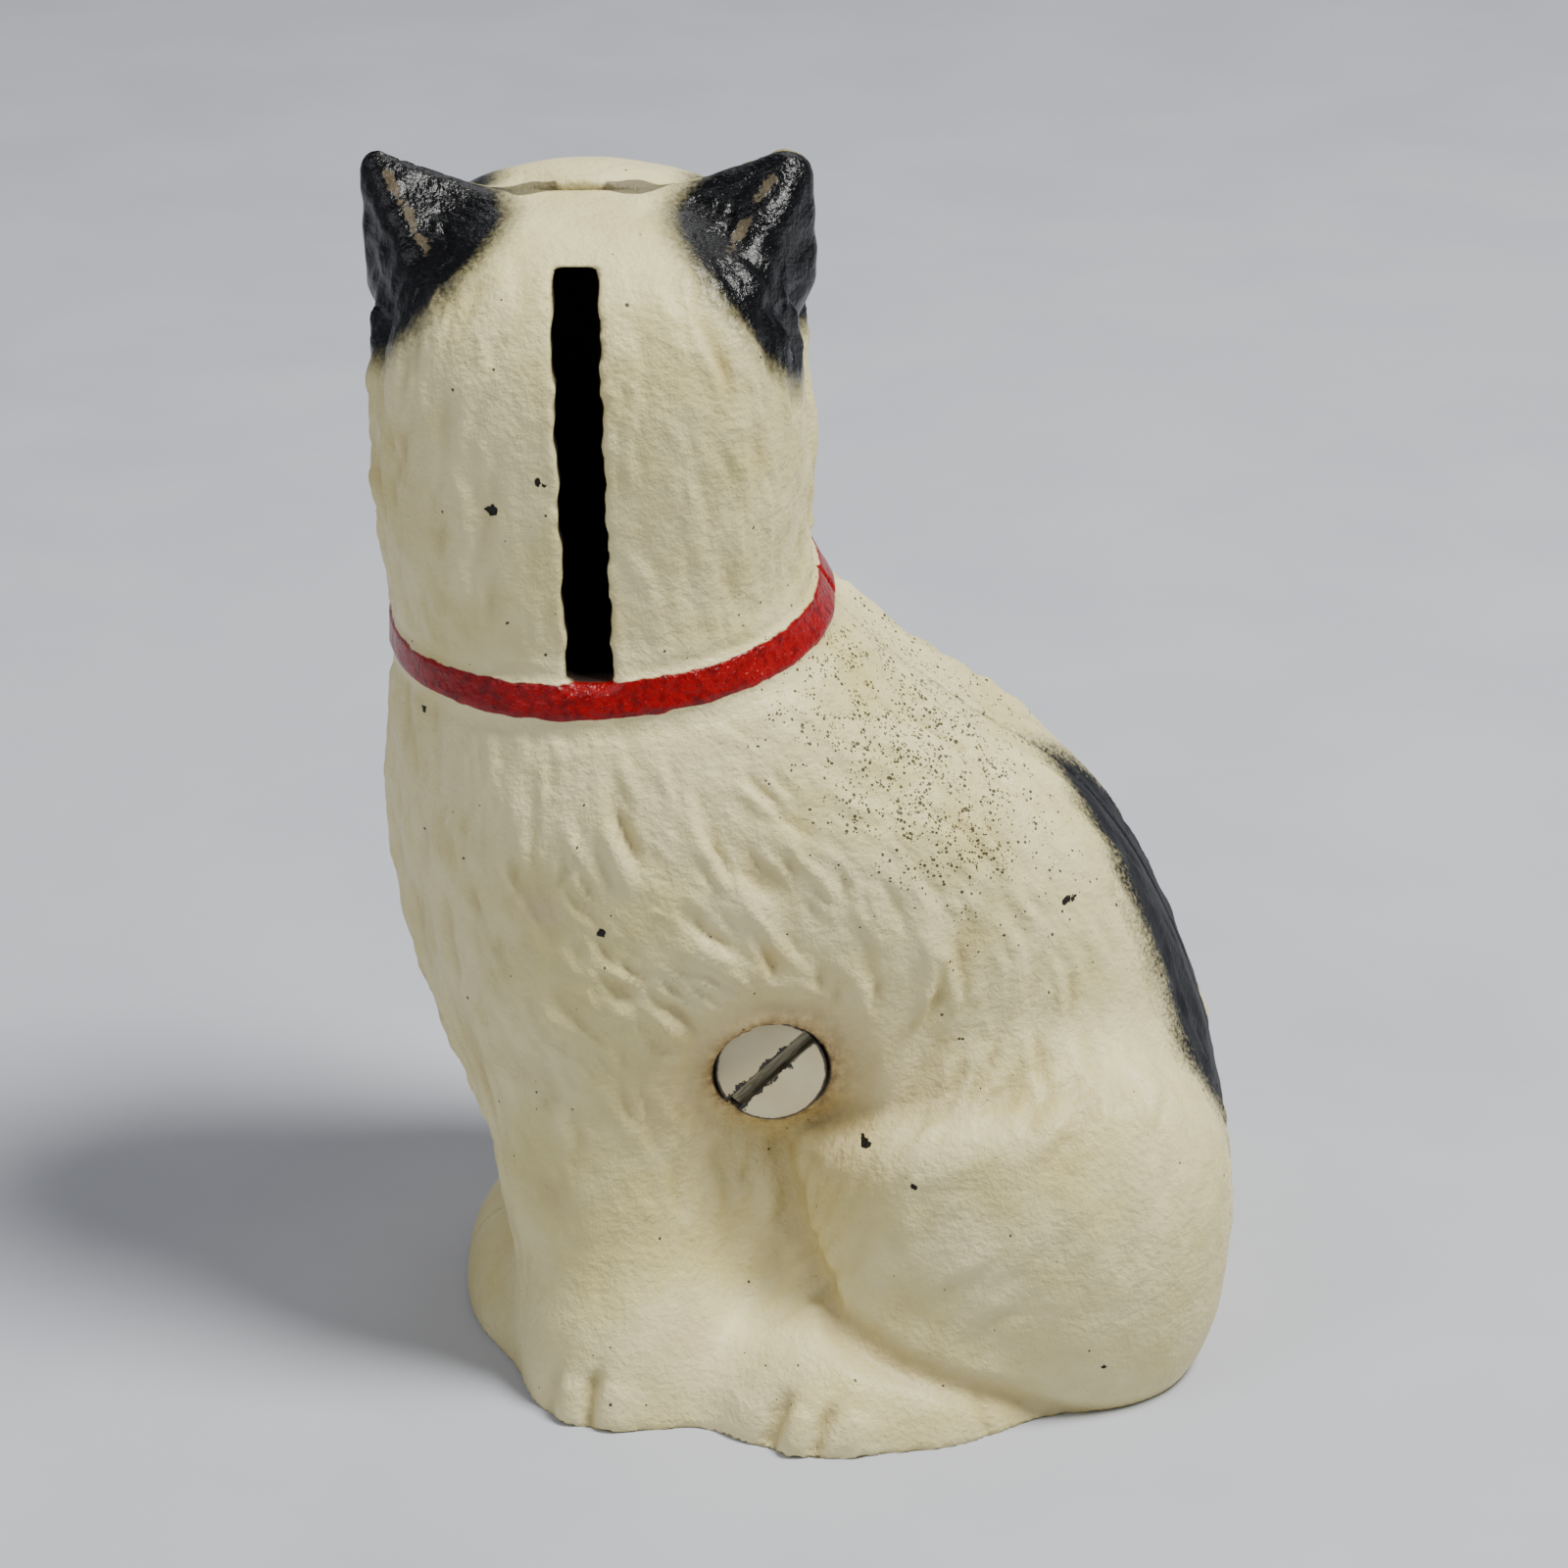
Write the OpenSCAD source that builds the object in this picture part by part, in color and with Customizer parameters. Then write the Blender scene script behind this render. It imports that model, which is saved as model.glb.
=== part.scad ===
// Cast iron still bank: a seated cat cast as two hollow halves, held shut by one screw.
// Millimetres. The halves meet on the plane y = 0, the coin slot faces -Y, the face looks along +Y,
// the chest points along -X and the base rests on z = 0.

/* [Bank] */
// overall height to the ear tips
height = 108; // [90:1:130]
// thickness of the cast wall
wall = 2.8; // [2.4:0.1:4]
// gap between the two halves at the seam
seam_gap = 0.2; // [0.1:0.05:0.6]
// width of the painted collar band
collar_width = 3; // [2:0.5:5]
// how far the collar stands out
collar_rise = 0.5; // [0.3:0.1:1]

/* [Coin slot] */
// width of the slot
slot_width = 4.4; // [4.2:0.1:6]
// lower end of the slot above the base
slot_bottom = 67.4; // [64:0.1:72]
// length of the slot, long enough for a half dollar
slot_length = 34.3; // [32:0.1:36]
// distance of the slot from the middle, along X
slot_x = -19.6; // [-24:0.1:-15]

/* [Screw] */
// diameter of the shank
shank_diameter = 4.83; // [4:0.01:6]
// diameter of the flat head
head_diameter = 9.8; // [8:0.1:12]
// included angle under the head
head_angle = 82; // [80:1:90]
// length over all
screw_length = 31.75; // [28:0.05:35]
// width of the driver slot
driver_width = 1.2; // [0.8:0.1:1.6]
// depth of the driver slot
driver_depth = 1.3; // [0.8:0.1:1.8]
// play round the shank in each half
running_clearance = 0.06; // [0.02:0.01:0.1]
// play under the head in its countersink
seat_clearance = 0.06; // [0.02:0.01:0.1]
// diameter of the posts the screw runs through
post_diameter = 11; // [9:0.5:14]

/* [Mesh] */
// points round each level of the outside
around = 68; // [48:4:96]
// levels up the outside
levels = 52; // [40:2:64]

/* [Hidden] */
base_height = 108;
screw_x = -4.2;
screw_z = 31.4;
screw_face = -20.2;
head_land = 0.45;
cone_height = (head_diameter - shank_diameter) / 2 / tan(head_angle / 2);
head_top = 104.3;
neck_top = 80;
cream = [0.87, 0.84, 0.73];
black = [0.06, 0.06, 0.07];
red = [0.62, 0.09, 0.08];
steel = [0.55, 0.53, 0.47];

// ---- levels of the body: height, chest side, back side, half depth ----
body_levels = [
    [-8, -24, 35.3, 17.5], [0, -24.8, 36.2, 18], [8, -25.2, 37, 18], [14, -26.6, 37.4, 17.6],
    [22, -31, 36.4, 18], [30, -34.4, 34.2, 19.6], [38, -36.8, 31, 21], [46, -37.9, 26.4, 21.5],
    [52, -38.1, 21, 21.5], [57, -37.8, 13.5, 21], [62, -37.3, 7, 20.4], [67, -37, 1.8, 19.5],
    [72, -36.8, -1.2, 18.9], [78, -35, -4, 17], [92, -32, -8, 14]
];
body_power = 2.35;

// ---- rounded masses on both sides: centre, radii, turn about Y, turn about Z, power, blend ----
masses = [
    [[-19.6, 0, 84.6], [18.2, 19.3, 19.8], 0, 0, 2.9, 4],      // head
    [[17.6, 13, 12.5], [19.2, 15.3, 19.5], 3, 0, 2.5, 4.5],    // haunch
    [[4, 21, -3], [14.5, 11, 11.5], 0, 8, 2.3, 5],             // hind foot
    [[-0.5, 25.2, -2], [7.3, 7.2, 9], 0, 30, 2.3, 4],          // hind toes
    [[-17.2, 17.3, -3], [9.6, 11.6, 14], 0, 0, 2.2, 7],        // front paw
    [[-17, 12, 46], [12.4, 11, 18], -12, 0, 2.2, 8],           // shoulder
    [[-24, 0, 0], [8.6, 17, 7.6], 0, 0, 2.2, 4]                // between the front paws
];

// ---- tapering limbs on both sides: one end, its radius, other end, its radius, blend ----
limbs = [
    [[-21.2, 11.5, 36], 10.2, [-17.6, 15.6, 9], 8.6, 6]        // foreleg
];

// ---- masses on the face side only ----
face_masses = [
    [[-19.3, 17.2, 79.5], [8.2, 5.6, 5.6], 0, 0, 2.1, 4],    // muzzle
    [[-19.3, 20.6, 82.4], [2.4, 2.4, 1.7], 0, 0, 2, 1.5],    // nose
    [[-30, 10.5, 78], [8, 8.5, 8], 0, 0, 2.1, 5],            // one cheek
    [[-9.4, 10.5, 78], [8, 8.5, 8], 0, 0, 2.1, 5]            // other cheek
];
tail = [
    [[34, 6, 7], 5], [[32, 16.5, 6], 5], [[26, 24, 6.5], 4.8],
    [[17.5, 28.2, 7], 4.4], [[8.5, 29, 7], 3.7]
];
tail_blend = 2.2;

// ---- ears: tip, then roots, each with a radius ----
ears_shape = [
    [[-37.2, 0, 106.2, 1.4], [[-35.2, -1, 97, 3.1], [-26, -1, 100.6, 3.2], [-31.4, -10, 96, 2.4],
        [-32.4, -1.5, 103.3, 1.9], [-31.2, 4.5, 97, 4.2]]],
    [[-2.9, -0.3, 105.5, 2.3], [[-3.3, -1, 97.5, 3], [-14.4, -1, 100.6, 3.2], [-8.4, -10, 96, 2.4],
        [-6.6, -1.5, 103.6, 2.2], [-9, 4.5, 97, 4.2]]]
];

// ---- collar: height of the band's middle at the slot, its tilt and its upward curve ----
collar_middle = 66.2;
collar_tilt = 0.0605;
collar_curve = 0.004;

function blend(a, b, k) = let (h = max(k - abs(a - b), 0) / k) min(a, b) - h * h * k / 4;

function slope(t, i, c) = i == 0 ? (t[1][c] - t[0][c]) / (t[1][0] - t[0][0])
    : i == len(t) - 1 ? (t[i][c] - t[i - 1][c]) / (t[i][0] - t[i - 1][0])
    : (t[i + 1][c] - t[i - 1][c]) / (t[i + 1][0] - t[i - 1][0]);

function at_height(z, c, i = 0) = z > body_levels[i + 1][0] && i < len(body_levels) - 2
    ? at_height(z, c, i + 1)
    : let (
        lo = body_levels[i],
        hi = body_levels[i + 1],
        h = hi[0] - lo[0],
        s = (z - lo[0]) / h,
        s2 = s * s,
        s3 = s2 * s
    ) (2 * s3 - 3 * s2 + 1) * lo[c] + (s3 - 2 * s2 + s) * h * slope(body_levels, i, c)
        + (3 * s2 - 2 * s3) * hi[c] + (s3 - s2) * h * slope(body_levels, i + 1, c);

// signed distance, near enough, to the body's own level at that height
function level_at(z) = let (front = at_height(z, 1), back = at_height(z, 2))
    [(front + back) / 2, (back - front) / 2, at_height(z, 3)];

function core(p, lv) = let (
        n = body_power,
        u = abs((p.x - lv[0]) / lv[1]) + 1e-6,
        v = abs(p.y / lv[2]) + 1e-6,
        k = pow(pow(u, n) + pow(v, n), 1 / n),
        g = pow(k, 1 - n) * norm([pow(u, n - 1) / lv[1], pow(v, n - 1) / lv[2]])
    ) max((k - 1) / g, p.z - neck_top);

function turned(p, m) = let (
        d = p - m[0],
        cz = cos(m[3]),
        sz = sin(m[3]),
        x1 = d.x * cz + d.y * sz,
        y1 = d.y * cz - d.x * sz,
        cy = cos(m[2]),
        sy = sin(m[2])
    ) [x1 * cy - d.z * sy, y1, x1 * sy + d.z * cy];

function mass(p, m) = let (
        q = turned(p, m),
        n = m[4],
        u = abs(q.x / m[1].x) + 1e-6,
        v = abs(q.y / m[1].y) + 1e-6,
        w = abs(q.z / m[1].z) + 1e-6,
        k = pow(pow(u, n) + pow(v, n) + pow(w, n), 1 / n),
        g = pow(k, 1 - n) * norm([pow(u, n - 1) / m[1].x, pow(v, n - 1) / m[1].y, pow(w, n - 1) / m[1].z])
    ) (k - 1) / g;

function limb(p, a, ra, b, rb) = let (
        d = b - a,
        t = min(max((p - a) * d / (d * d), 0), 1)
    ) norm(p - a - t * d) - ra - (rb - ra) * t;

function add_masses(p, list, f, i = 0) = i == len(list) ? f
    : add_masses(p, list, blend(f, mass(p, list[i]), list[i][5]), i + 1);

function add_limbs(p, list, f, i = 0) = i == len(list) ? f
    : add_limbs(p, list, blend(f, limb(p, list[i][0], list[i][1], list[i][2], list[i][3]), list[i][4]), i + 1);

function tail_distance(p) = min([for (i = [0:len(tail) - 2])
    limb(p, tail[i][0], tail[i][1], tail[i + 1][0], tail[i + 1][1])]);

// the cat's outside without its ears: negative inside
function outside(p, lv) = let (
        q = [p.x, abs(p.y), p.z],
        f = add_limbs(q, limbs, add_masses(q, masses, core(q, lv)))
    ) p.y < 0 ? f : blend(add_masses(p, face_masses, f), tail_distance(p), tail_blend);

// middle of the collar band at one place round the neck
function collar_height(p) = let (u = p.x - slot_x) collar_middle + collar_tilt * u + collar_curve * u * u;

function collar_step(p) = let (e = abs(p.z - collar_height(p)) - collar_width / 2)
    e < 0 ? collar_rise : max(0, collar_rise * (1 - e / 0.5));

// farthest point along a level ray that is still inside, by halving
function reach(c, dir, lv, inset, lo = 0, hi = 62, n = 13) = n == 0 ? (lo + hi) / 2
    : let (mid = (lo + hi) / 2)
        outside(c + mid * dir, lv) < -inset ? reach(c, dir, lv, inset, mid, hi, n - 1)
        : reach(c, dir, lv, inset, lo, mid, n - 1);

function ray_middle(z) = [z < 50 ? 2 - 16 * z / 50 : z < 66 ? -14 - 5.3 * (z - 50) / 16 : -19.3, 0, z];

function ring(z, n, inset, band) = let (c = ray_middle(z), lv = level_at(z))
    [for (i = [0:n - 1]) let (
        dir = [cos(360 * i / n), sin(360 * i / n), 0],
        p = c + reach(c, dir, lv, inset) * dir
    ) band ? p + collar_step(p) * dir : p];

function stacked(rings) = [for (r = rings) each r];

function walls(n, m) = [for (j = [0:m - 2]) for (i = [0:n - 1]) each [
    [j * n + i, (j + 1) * n + i, (j + 1) * n + (i + 1) % n],
    [j * n + i, (j + 1) * n + (i + 1) % n, j * n + (i + 1) % n]
]];

// a closed skin through a list of rings with n points each
module skin(rings, n) {
    m = len(rings);
    middle_low = ray_middle(rings[0][0].z);
    middle_high = ray_middle(rings[m - 1][0].z);
    points = concat(stacked(rings), [middle_low, middle_high]);
    low_cap = [for (i = [0:n - 1]) [n * m, i, (i + 1) % n]];
    high_cap = [for (i = [0:n - 1]) [n * m + 1, (m - 1) * n + (i + 1) % n, (m - 1) * n + i]];
    polyhedron(points = points, faces = concat(walls(n, m), low_cap, high_cap), convexity = 8);
}

// levels crowd together at the feet, the collar and the crown
function outer_heights() = concat(
    [0, 1, 2.2, 3.6],
    [for (i = [0:24]) 5.2 + i * 2.26],
    [for (i = [0:21]) 60.9 + i * 0.6],
    [for (i = [0:levels - 44]) 75.5 + i * 22.5 / (levels - 44)],
    [100, 101.6, 102.8, 103.6, 104.1]
);

function inner_heights() = concat(
    [for (i = [0:26]) wall + i * (93 - wall) / 26],
    [95.5, 98, 99.8, 100.9, head_top - wall - 0.25]
);

module cat_body() {
    skin([for (z = outer_heights()) ring(z, around, 0, true)], around);
}

module cavity() {
    n = 44;
    skin([for (z = inner_heights()) ring(z, n, wall, false)], n);
}

module ball(b, facets) {
    translate([b.x, b.y, b.z]) sphere(b[3], $fn = facets);
}

module ears() {
    for (ear = ears_shape) hull() {
        ball(ear[0], 16);
        for (root = ear[1]) ball(root, 20);
    }
}

module post() {
    translate([screw_x, 0, screw_z]) rotate([90, 0, 0])
        cylinder(d = post_diameter, h = 80, center = true, $fn = 36);
}

// the hollow casting, before it is split
module hollow_cat() {
    difference() {
        union() {
            cat_body();
            ears();
        }
        difference() {
            cavity();
            post();
        }
    }
}

// side -1 keeps the slot half, side 1 the face half; the resize sets the finished height
module half(side) {
    resize([0, 0, height], auto = true) intersection() {
        hollow_cat();
        translate([-60, side < 0 ? -60 : seam_gap / 2, -1]) cube([120, 60 - seam_gap / 2, 120]);
    }
}

module along_screw(from, length, r1, r2) {
    translate([screw_x, from, screw_z]) rotate([-90, 0, 0])
        cylinder(r1 = r1, r2 = r2, h = length, $fn = 64);
}

module slot_half() {
    shank = shank_diameter / 2;
    open = head_diameter / 2 + seat_clearance;
    color(cream) difference() {
        half(-1);
        translate([slot_x - slot_width / 2, -30, slot_bottom]) cube([slot_width, 22, slot_length]);
        along_screw(-30, 31, shank + running_clearance, shank + running_clearance);
        along_screw(screw_face - 9, 9 + head_land, open, open);
        along_screw(screw_face + head_land, cone_height, open, shank + seat_clearance);
    }
}

module face_half() {
    shank = shank_diameter / 2;
    depth = screw_length + screw_face + 1;
    color(cream) difference() {
        half(1);
        along_screw(-1, depth + 1, shank + running_clearance, shank + running_clearance);
    }
}

module screw() {
    shank = shank_diameter / 2;
    head = head_diameter / 2;
    color(steel) difference() {
        union() {
            along_screw(screw_face, head_land, head, head);
            along_screw(screw_face + head_land, cone_height, head, shank);
            along_screw(screw_face + 2, screw_length - 2.6, shank, shank);
            along_screw(screw_face + screw_length - 0.6, 0.6, shank, shank - 0.6);
        }
        translate([screw_x, screw_face, screw_z]) rotate([0, 45, 0])
            cube([driver_width, 2 * driver_depth, head_diameter + 2], center = true);
    }
}

slot_half();
face_half();
screw();
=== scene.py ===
import math

import bmesh
import bpy
import numpy as np
from mathutils import Matrix, Vector, kdtree


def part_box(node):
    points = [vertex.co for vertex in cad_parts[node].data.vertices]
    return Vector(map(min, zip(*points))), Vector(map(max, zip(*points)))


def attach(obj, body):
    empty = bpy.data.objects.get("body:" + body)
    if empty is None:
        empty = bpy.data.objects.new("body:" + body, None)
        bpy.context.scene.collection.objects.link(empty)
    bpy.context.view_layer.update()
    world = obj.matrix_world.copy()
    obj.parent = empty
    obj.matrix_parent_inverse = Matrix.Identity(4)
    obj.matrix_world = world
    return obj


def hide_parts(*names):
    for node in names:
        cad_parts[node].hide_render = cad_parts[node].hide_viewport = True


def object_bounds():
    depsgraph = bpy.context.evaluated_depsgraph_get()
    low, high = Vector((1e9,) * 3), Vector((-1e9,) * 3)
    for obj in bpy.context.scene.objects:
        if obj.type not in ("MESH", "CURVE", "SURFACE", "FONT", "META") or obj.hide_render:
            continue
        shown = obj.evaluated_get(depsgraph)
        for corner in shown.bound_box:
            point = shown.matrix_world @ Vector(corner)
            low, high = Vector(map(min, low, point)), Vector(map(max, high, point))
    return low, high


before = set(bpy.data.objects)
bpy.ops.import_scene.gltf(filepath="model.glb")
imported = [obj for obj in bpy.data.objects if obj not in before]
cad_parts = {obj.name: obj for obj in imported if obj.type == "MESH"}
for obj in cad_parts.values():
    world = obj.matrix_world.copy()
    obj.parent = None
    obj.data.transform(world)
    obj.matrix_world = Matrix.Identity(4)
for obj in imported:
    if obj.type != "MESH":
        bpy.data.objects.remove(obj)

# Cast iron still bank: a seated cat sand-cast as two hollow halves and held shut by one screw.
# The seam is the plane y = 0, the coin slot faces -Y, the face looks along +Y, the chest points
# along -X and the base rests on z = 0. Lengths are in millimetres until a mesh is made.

CAD_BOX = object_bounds()
MM = 0.001
CAD_LOW, CAD_HIGH = [np.array(corner) / MM for corner in CAD_BOX]

SCREW_LOW, SCREW_HIGH = [np.array(corner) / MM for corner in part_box("screw")]
SCREW_X = (SCREW_LOW[0] + SCREW_HIGH[0]) / 2
SCREW_Z = (SCREW_LOW[2] + SCREW_HIGH[2]) / 2
SCREW_FACE = SCREW_LOW[1]
HEAD_RADIUS = (SCREW_HIGH[0] - SCREW_LOW[0]) / 2
SHANK_RADIUS = 4.83 / 2
HEAD_ANGLE = math.radians(82)
HEAD_LAND = 0.45
CONE_HEIGHT = (HEAD_RADIUS - SHANK_RADIUS) / math.tan(HEAD_ANGLE / 2)
THREAD_PITCH = 25.4 / 24
THREAD_DEPTH = 0.62
DRIVER_SLOT_WIDTH, DRIVER_SLOT_DEPTH = 1.25, 0.85
BORE_CLEARANCE, SEAT_CLEARANCE = 0.06, 0.1

WALL = 2.8
SEAM_GAP = 0.2
POST_RADIUS = 5.5
SLOT_X = -19.6
SLOT_WIDTH = 4.25
SLOT_BOTTOM = 67.5
SLOT_TOP = 101.6
SLOT_CORNER = 0.7
SLOT_LEAN = 0.42
# the slot is cut through everything on its side of this plane, in y
SLOT_END = -6
COLLAR_WIDTH = 3.0
COLLAR_RISE = 0.42
COLLAR_MIDDLE, COLLAR_TILT, COLLAR_CURVE = 66.2, 0.0605, 0.004
NECK_TOP = 80.0
BODY_POWER = 2.35
# the middle of the face and of the worn patch on the shoulder, in x and z
FACE_MIDDLE = (-19.3, 84)
SPECKLE_MIDDLE = (8.5, 57)
# a distance that stands for nowhere near
FAR = 1e3
# mesh step: fine enough for the locks of hair, the finest of which are about 0.5 mm wide
STEP = 0.46

# ------------------------------------------------------------------ the sculpted form

# height, chest side, back side, half depth
BODY_LEVELS = np.array([
    (-8, -24, 35.3, 17.5), (0, -24.8, 36.2, 18), (8, -25.2, 37, 18), (14, -26.6, 37.4, 17.6),
    (22, -31, 36.4, 18), (30, -34.4, 34.2, 19.6), (38, -36.8, 31, 21), (46, -37.9, 26.4, 21.5),
    (52, -38.1, 21, 21.5), (57, -37.8, 13.5, 21), (62, -37.3, 7, 20.4), (67, -37, 1.8, 19.5),
    (72, -36.8, -1.2, 18.9), (78, -35, -4, 17), (92, -32, -8, 14),
])

# centre, radii, turn about Y, turn about Z, power, blend; both sides carry these
MASSES = [
    ((-19.6, 0, 84.6), (18.2, 19.3, 19.8), 0, 0, 2.9, 4),      # head
    ((17.6, 13, 12.5), (19.2, 15.3, 19.5), 3, 0, 2.5, 4.5),    # haunch
    ((4, 21.0, -3), (14.5, 11, 11.5), 0, 8, 2.3, 5),           # hind foot
    ((-0.5, 25.2, -2), (7.3, 7.2, 9), 0, 30, 2.3, 4),          # hind toes
    ((-17.2, 17.3, -3), (9.6, 11.6, 14), 0, 0, 2.2, 7),        # front paw
    ((-17, 12, 46), (12.4, 11, 18), -12, 0, 2.2, 8),           # shoulder
    ((-24, 0, 0), (8.6, 17, 7.6), 0, 0, 2.2, 4),               # between the front paws
]
# one end, its radius, other end, its radius, blend
FORELEG = ((-21.2, 11.5, 36), 10.2, (-17.6, 15.6, 9), 8.6, 6)

# only the side with the face: whisker pads, chin, nose, cheeks, eyes
FACE_MASSES = [
    ((-22.6, 17.4, 79.2), (4.9, 5.2, 4.4), 0, 0, 2.1, 2.5),
    ((-16.0, 17.4, 79.2), (4.9, 5.2, 4.4), 0, 0, 2.1, 2.5),
    ((-19.3, 16.6, 75.6), (3.6, 4.6, 3.0), 0, 0, 2.1, 2.5),
    ((-19.3, 21.2, 82.6), (2.3, 2.0, 1.5), 0, 0, 2, 1.2),
    ((-30, 10.5, 78), (8, 8.5, 8), 0, 0, 2.1, 5),
    ((-9.4, 10.5, 78), (8, 8.5, 8), 0, 0, 2.1, 5),
    ((-27, 16.6, 88.6), (3.6, 2.6, 2.7), 0, 0, 2, 0.8),
    ((-11.6, 16.6, 88.6), (3.6, 2.6, 2.7), 0, 0, 2, 0.8),
]
TAIL = [((34, 6, 7), 5), ((32, 16.5, 6), 5), ((26, 24, 6.5), 4.8),
        ((17.5, 28.2, 7), 4.4), ((8.5, 29, 7), 3.7)]

# each ear: tip and its radius, then round it the roots it widens to, the last one within
EARS = [
    ((-37.2, 0, 106.2), 1.4, [((-35.2, -1, 97), 3.1), ((-31.4, -10, 96), 2.4), ((-26, -1, 100.6), 3.2),
                              ((-32.4, -1.5, 103.3), 1.9), ((-31.2, 4.5, 97), 4.2)]),
    ((-2.9, -0.3, 105.5), 2.3, [((-3.3, -1, 97.5), 3), ((-8.4, -10, 96), 2.4), ((-14.4, -1, 100.6), 3.2),
                                ((-6.6, -1.5, 103.6), 2.2), ((-9, 4.5, 97), 4.2)]),
]


def blend(a, b, k):
    """Smooth union of two distances, k wide."""
    h = np.maximum(k - np.abs(a - b), 0) / k
    return np.minimum(a, b) - h * h * k / 4


def smoothstep(low, high, x):
    t = np.clip((x - low) / (high - low), 0, 1)
    return t * t * (3 - 2 * t)


def level_value(z, column):
    """A body level's value at any height, on a smooth curve through the table."""
    t, y = BODY_LEVELS[:, 0], BODY_LEVELS[:, column]
    slope = np.gradient(y, t)
    slope[1:-1] = (y[2:] - y[:-2]) / (t[2:] - t[:-2])
    z = np.clip(z, t[0], t[-1])
    i = np.clip(np.searchsorted(t, z, side="right") - 1, 0, len(t) - 2)
    h = t[i + 1] - t[i]
    s = (z - t[i]) / h
    return ((2 * s**3 - 3 * s**2 + 1) * y[i] + (s**3 - 2 * s**2 + s) * h * slope[i]
            + (3 * s**2 - 2 * s**3) * y[i + 1] + (s**3 - s**2) * h * slope[i + 1])


def body_core(p):
    """Distance to the trunk whose level sections are rounded boxes."""
    n = BODY_POWER

    def ratio(z):
        front, back, depth = (level_value(z, c) for c in (1, 2, 3))
        half = (back - front) / 2
        u = np.abs((p[:, 0] - (front + back) / 2) / half) + 1e-9
        v = np.abs(p[:, 1] / depth) + 1e-9
        k = (u**n + v**n) ** (1 / n)
        return k, k ** (1 - n) * np.hypot(u ** (n - 1) / half, v ** (n - 1) / depth)

    k, across = ratio(p[:, 2])
    rise = 0.5
    up = (ratio(p[:, 2] + rise)[0] - ratio(p[:, 2] - rise)[0]) / (2 * rise)
    trunk = (k - 1) / np.sqrt(across**2 + up**2 + 1e-9)
    return -blend(-trunk, NECK_TOP - p[:, 2], 6)


def rounded_mass(p, centre, radii, turn_y, turn_z, n):
    turn = np.array(Matrix.Rotation(math.radians(turn_z), 3, "Z")
                    @ Matrix.Rotation(math.radians(turn_y), 3, "Y"))
    q = np.abs((p - np.array(centre, float)) @ turn) / np.array(radii, float) + 1e-9
    k = (q**n).sum(1) ** (1 / n)
    grade = k ** (1 - n) * np.sqrt(((q ** (n - 1) / np.array(radii, float)) ** 2).sum(1))
    return (k - 1) / (grade + 1e-9)


def limb(p, a, ra, b, rb):
    """Distance to a cone with round ends."""
    a, b = np.array(a, float), np.array(b, float)
    d = b - a
    t = np.clip((p - a) @ d / (d @ d), 0, 1)
    return np.linalg.norm(p - a - t[:, None] * d, axis=1) - (ra + (rb - ra) * t)


def web(p, a, ra, b, rb, c, rc):
    """Distance to a thick triangle, its thickness running evenly from corner to corner."""
    a, u, v = np.array(a, float), np.subtract(b, a), np.subtract(c, a)
    q = p - a
    uu, uv, vv, qu, qv = u @ u, u @ v, v @ v, q @ u, q @ v
    s, t = (vv * qu - uv * qv) / (uu * vv - uv**2), (uu * qv - uv * qu) / (uu * vv - uv**2)
    within = (s >= 0) & (t >= 0) & (s + t <= 1)
    away = np.linalg.norm(q - s[:, None] * u - t[:, None] * v, axis=1)
    return np.where(within, away - (ra + s * (rb - ra) + t * (rc - ra)), FAR)


def ears(p):
    """Distance to both ears: each a fan of round-edged webs from its tip to its roots."""
    nearest = np.full(len(p), FAR)
    for tip, radius, roots in EARS:
        rim, ridge, crown, brow, face = roots
        for root, root_radius in roots:
            nearest = np.minimum(nearest, limb(p, tip, radius, root, root_radius))
        nearest = np.minimum(nearest, limb(p, *brow, *crown))
        for one, other in ((rim, ridge), (ridge, brow), (brow, face), (face, rim)):
            nearest = np.minimum(nearest, web(p, tip, radius, *one, *other))
        nearest = np.minimum(nearest, web(p, *brow, *ridge, *crown))
        nearest = np.minimum(nearest, web(p, *brow, *crown, *face))
    return nearest


def outside(p):
    """Distance to the casting's smooth outside, negative within it."""
    q = np.abs(p) * (0, 1, 0) + p * (1, 0, 1)
    d = body_core(q)
    for centre, radii, turn_y, turn_z, power, width in MASSES:
        d = blend(d, rounded_mass(q, centre, radii, turn_y, turn_z, power), width)
    d = blend(d, limb(q, *FORELEG[:4]), FORELEG[4])
    face_side = p[:, 1] > 0
    if face_side.any():
        far, f = p[face_side], d[face_side]
        for centre, radii, turn_y, turn_z, power, width in FACE_MASSES:
            f = blend(f, rounded_mass(far, centre, radii, turn_y, turn_z, power), width)
        for (a, ra), (b, rb) in zip(TAIL[:-1], TAIL[1:]):
            f = blend(f, limb(far, a, ra, b, rb), 1.6)
        d[face_side] = f
    d = blend(d, ears(p), 2.2)
    return np.maximum(d, -p[:, 2])


def screw_axis_distance(p):
    return np.hypot(p[:, 0] - SCREW_X, p[:, 2] - SCREW_Z)


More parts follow.
